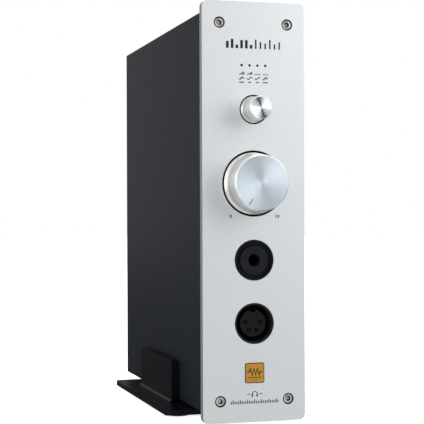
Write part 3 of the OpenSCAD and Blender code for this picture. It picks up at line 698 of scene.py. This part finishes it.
def add_knobs(ink):
    for_volume = Vector((VOLUME.x, FRONT, VOLUME.z))
    for_selector = Vector((SELECTOR.x, FRONT, SELECTOR.z))
    volume_face = (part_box("volume_knob")[0].y - FRONT) / MM
    selector_face = (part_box("selector_knob")[0].y - FRONT) / MM
    sides = turned_metal("knob_sides", (0.93, 0.92, 0.90), 0.36, for_volume, anisotropy=0.75)
    broad = turned_metal("volume_face", (0.60, 0.66, 0.715), 0.38, for_volume, fan=0.3)
    sharp = turned_metal("selector_face", (0.60, 0.63, 0.67), 0.16, for_selector, fan=0.45)
    knob = add_knob("volume_knob_turned", "volume_knob", for_volume, [
        (SHAFT_R, KNOB_BACK, 0.15), (6.0, KNOB_BACK, 0.3), (6.0, -5.5, 0.3), (12.4, -5.5, 0.3),
        (14.4, KNOB_BACK, 0.2), (16.5, KNOB_BACK, 0.2), (16.5, 0.2, 0.1), (14.8, -1.4, 4.0),
        (14.8, volume_face + 0.6, 0.06), (14.2, volume_face, 0.06),
        (0.0, volume_face), (0.0, BORE_END), (SHAFT_R, BORE_END),
    ], 160, [sides, broad, ink])
    groove = prism(bar(0.0, -13.4, 0.4, 3.7), -0.5, 0.3)
    placement = Matrix.Translation(for_volume + Vector((0.0, volume_face * MM, 0.0)))
    cut(knob, groove, placement @ Matrix.Rotation(math.radians(32.0), 4, "Y"), 2)
    add_knob("selector_knob_turned", "selector_knob", for_selector, [
        (SHAFT_R, KNOB_BACK, 0.15), (7.1, KNOB_BACK, 0.2), (7.1, 0.2, 0.1), (6.1, -1.0, 3.4),
        (6.1, selector_face + 0.35, 0.05), (5.75, selector_face, 0.05),
        (0.0, selector_face), (0.0, BORE_END), (SHAFT_R, BORE_END),
    ], 112, [sides, sharp])


# Radii of the front screws' heads, of the steel part of their faces (outside it the rim is painted
# near black as painted shade), of their hexagons and of the drilled centres, and the depths of the
# heads' faces, of their edges and of their backs.
HEAD_R, HEAD_FACE_R, HEX_R, DRILL_R = 2.75, 2.28, 1.45, 0.75
HEAD_FACE, HEAD_EDGE, HEAD_BACK = 0.45, 1.15, 3.15


def add_cap_screws(steel, rim_shade_paint, socket):
    """The front panel's four socket-head screws: steel faces, with rims and hexagon sockets painted near black as
    painted shade, and a drilled steel centre in each socket that shows as a glint.
    """
    low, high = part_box("front_panel_screws")
    bm = bmesh.new()
    places = [
        Vector((x, FRONT, z))
        for x in (low.x + HEAD_R * MM, high.x - HEAD_R * MM)
        for z in (low.z + HEAD_R * MM, high.z - HEAD_R * MM)
    ]
    for place in places:
        lathe(bm, [
            (0.0, HEAD_FACE), (2.2, HEAD_FACE, 0.25), (HEAD_R, HEAD_EDGE, 0.1),
            (HEAD_R, HEAD_BACK, 0.1), (0.0, HEAD_BACK),
        ], place, 64)
    node = "front_panel_screws"
    piece = finish_mesh(
        "front_panel_screw_heads", bm, BODY_OF[node], [steel, rim_shade_paint, socket], [node])
    turns = (12.0, 40.0, 25.0, 52.0)
    for place, turn in zip(places, turns):
        # The hexagon's walls and floor take the near-black socket material: painted shade for the dark inside of
        # the socket.
        hexagon = prism(oval(0, 0, 2 * HEX_R, 2 * HEX_R, 6), -0.5, 1.8)
        cut(piece, hexagon, Matrix.Translation(place) @ Matrix.Rotation(math.radians(turn), 4, "Y"), 2)
        # The drilled centre keeps the bright steel, so a spot of steel shows in the painted-dark socket as a
        # glint.
        drilled = prism(oval(0, 0, 2 * DRILL_R, 2 * DRILL_R, 24), 1.0, 2.1)
        cut(piece, drilled, Matrix.Translation(place))
    # Outside the steel face the rim is painted near black: painted shade from the counterbore and its dark walls,
    # standing in for knurling.
    for polygon in piece.data.polygons:
        middle = polygon.center
        off_axis = min((Vector((middle.x, middle.z)) - Vector((p.x, p.z))).length for p in places)
        if off_axis > HEAD_FACE_R * MM:
            polygon.material_index = 1


def add_badge(amber, ink):
    """Amber plate with a dark rim, a zigzag like a resistor's symbol, and dots below it."""
    zero = centre("badge")
    sheet = Sheet((zero.x, FRONT, zero.z))
    rim_side, plate_side, plate_rise = 10.6, 9.9, 0.19
    sheet.slab(tile(0, 0, rim_side, 1.0), -0.38, 0.12, 1)
    sheet.slab(tile(0, 0, plate_side, 0.75), 0.1, plate_rise)
    lift = (plate_rise - 0.01, plate_rise + 0.01, 1)
    level, swing = 0.6, 1.7
    zigzag = [(-4.2, level), (-3.0, level)]
    zigzag += [(-2.4 + 0.96 * k, level + (swing if k % 2 == 0 else -swing)) for k in range(6)]
    zigzag += [(3.0, level), (4.2, level)]
    sheet.slab(stroke(zigzag, 0.66), *lift)
    dot = 0.58
    dots = [(0.9 * k, -2.7) for k in range(-4, 5)] + [(-0.7, -4.0), (0.7, -4.0)]
    for x, z in dots:
        sheet.slab(bar(x, z, dot, dot), *lift)
    finish_mesh("badge_plate", sheet.bm, BODY_OF["badge"], [amber, ink], ["badge"])


def panel_sheet():
    return Sheet((0.0, FRONT, PANEL_LOW.z))


def finish_marks(name, sheet, ink):
    return finish_mesh(name, sheet.bm, BODY_OF["front_panel"], [ink])


def add_level_mark(ink):
    """A row of level bars above the lights."""
    sheet = panel_sheet()
    count = 12
    for k in range(count):
        tall = 1.4 + 3.6 * abs(math.sin(1.15 * k + 0.7))
        wide = 1.45 if k < count // 2 else 0.85
        sheet.slab(bar(-14.5 + 29.0 * k / (count - 1), LEVEL_Z, wide, tall), INK_LOW, INK_HIGH)
    finish_marks("level_mark", sheet, ink)


def add_light_marks(ink):
    """Under each light, its gain as short or rising bars, and its filter as steps or a wave."""
    sheet = panel_sheet()
    low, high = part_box("light_guides")
    guide_r, lights = 1.6, 4
    reach = (high.x - low.x) / 2 / MM - guide_r
    for k in range(lights):
        x = -reach + 2 * reach * k / (lights - 1)
        for step in range(4):
            tall = 0.5 + (0.38 * step if k < 2 else 0.0)
            sheet.slab(bar(x - 1.2 + 0.8 * step, GAIN_Z, 0.56, tall), INK_LOW, INK_HIGH)
        stepped = k in (0, lights - 1)
        if stepped:
            line = [(-1.5, 0.0), (-0.75, 0.0), (-0.75, 0.6), (0.0, 0.6), (0.0, 1.2), (0.75, 1.2),
                    (0.75, 0.6), (1.5, 0.6)]
        else:
            line = [(-1.5 + 0.125 * t, 0.6 - 0.6 * math.sin(math.pi * t / 12)) for t in range(25)]
        sheet.slab(stroke([(x + a, FILTER_Z + b) for a, b in line], 0.46), INK_LOW, INK_HIGH)
        sheet.slab(bar(x, LINE_Z, 2.8 if stepped else 1.6, 0.55), INK_LOW, INK_HIGH)
    finish_marks("light_marks", sheet, ink)


def add_dial_numbers(ink):
    """0 and 10 at the ends of the volume knob's travel."""
    sheet = panel_sheet()
    tall, wide, line = 1.8, 1.25, 0.42
    for x in (-12.9, 13.6):
        outer = oval(x, DIAL_Z + tall / 2, wide, tall)
        inner = oval(x, DIAL_Z + tall / 2, wide - 2 * line, tall - 2 * line)
        sheet.ring(outer, inner, INK_LOW, INK_HIGH)
    sheet.slab(bar(12.2, DIAL_Z, line, tall), INK_LOW, INK_HIGH)
    finish_marks("dial_numbers", sheet, ink)


def add_foot_marks(ink):
    """A small headphone sign over a graduated scale, below the badge."""
    sheet = panel_sheet()
    span = 1.35
    arc = oval(0, SIGN_Z + span, 2 * span, 2 * span, 24)[:13]
    sheet.slab(stroke(arc, 0.42), INK_LOW, INK_HIGH)
    for side in (-1, 1):
        sheet.slab(bar(side * span, SIGN_Z, 0.8, 1.5), INK_LOW, INK_HIGH)
        sheet.slab(bar(side * 3.4, SIGN_Z + 1.2, 1.6, 0.42), INK_LOW, INK_HIGH)
    for k in range(-13, 14):
        tall = 2.1 if k % 4 == 0 else 1.4
        sheet.slab(bar(k, SCALE_Z, 0.52, tall), INK_LOW, INK_HIGH)
    finish_marks("foot_marks", sheet, ink)


# Radii of the line outputs' centre holes, insulators, barrels and collars.
CENTRE_R, INSULATOR_R, BARREL_R, COLLAR_R = 1.6, 3.3, 4.15, 6.0


def add_phono_jacks(gold, insulators):
    """Gold barrels of the two line outputs, each with a coloured insulator."""
    low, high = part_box("line_output_jacks")
    rear = (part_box("rear_panel")[1].y - high.y) / MM
    start = (low.y - high.y) / MM
    mounts = {mount["name"]: Vector(mount["pos_m"]) for mount in frame["record"]["mounts"]}
    gold_bm = bmesh.new()
    for side in ("right", "left"):
        place = mounts[side + "_line_output"]
        place.y = high.y
        lathe(gold_bm, [
            (INSULATOR_R, start), (INSULATOR_R, 0.0, 0.1), (3.85, 0.0, 0.1), (BARREL_R, -0.3, 0.1),
            (BARREL_R, rear + 1.6, 0.1), (5.3, rear + 1.6, 0.1), (COLLAR_R, rear + 1.1, 0.2),
            (COLLAR_R, rear), (4.2, rear), (4.2, start),
        ], place, 96)
        bm = bmesh.new()
        lathe(bm, [
            (CENTRE_R, start), (CENTRE_R, -0.6, 0.3), (INSULATOR_R, -0.6), (INSULATOR_R, start),
        ], place, 64)
        finish_mesh(side + "_line_insulator", bm, "chassis", [insulators[side]])
    node = "line_output_jacks"
    finish_mesh("line_output_barrels", gold_bm, BODY_OF[node], [gold], [node])


def finish_of(node, finishes):
    """A node's own finish if it has one, otherwise its slot's."""
    return finishes.get(node) or finishes[SLOT_OF[node]]


def add_refined_nodes(finishes):
    """CAD nodes whose shape is right, with their edges eased to these widths in millimetres."""
    widths = {
        "front_panel": 0.25, "case_left_shell": 0.25, "case_right_shell": 0.25, "stand": 0.3,
        "rear_panel": 0.12, "headphone_jack": 0.18, "balanced_socket": 0.15,
        "balanced_insert": 0.15, "power_inlet": 0.25, "power_switch": 0.25, "power_rocker": 0.35,
        "balanced_outputs": 0.25, "usb_port": 0.12, "network_port": 0.12,
        "connector_screws": 0.1, "rear_panel_screws": 0.1, "balanced_output_pins": 0.3,
        "power_inlet_pins": 0.3, "rubber_feet": 0.2,
    }
    for node, width in widths.items():
        refined(node, width, finish_of(node, finishes))


def dress_cad_nodes(finishes):
    for node, piece in frame["nodes"].items():
        piece.data.materials.clear()
        piece.data.materials.append(finish_of(node, finishes))


# ---- Scene ----------------------------------------------------------------------------

add_camera()
add_studio()
add_floor()
FINISHES = slot_materials()
FINISHES["balanced_insert"] = moulded("insert_black", (0.0036, 0.0039, 0.005), 0.42, gloss=0.13)
# The gold contacts are painted dark brown: painted shade for the dark holes they sit in.
FINISHES["balanced_contacts"] = plain_metal("contacts_painted_shade", (0.10, 0.08, 0.05), 0.4)
INK = printed_ink("dark_ink", (0.008, 0.009, 0.011))
dress_cad_nodes(FINISHES)
add_refined_nodes(FINISHES)
add_knobs(INK)
# The rim and socket finishes are near-black steel: painted shade on the screw heads.
add_cap_screws(
    FINISHES["screw_steel"],
    plain_metal("screw_rim_painted_shade", (0.035, 0.034, 0.033), 0.5),
    plain_metal("screw_socket_painted_shade", (0.11, 0.10, 0.09), 0.4),
)
add_badge(FINISHES["badge_amber"], INK)
add_level_mark(INK)
add_light_marks(INK)
add_dial_numbers(INK)
add_foot_marks(INK)
add_phono_jacks(FINISHES["contact_gold"], {
    "right": moulded("insulator_red", (0.35, 0.015, 0.012), 0.3),
    "left": moulded("insulator_white", (0.75, 0.74, 0.70), 0.3),
})
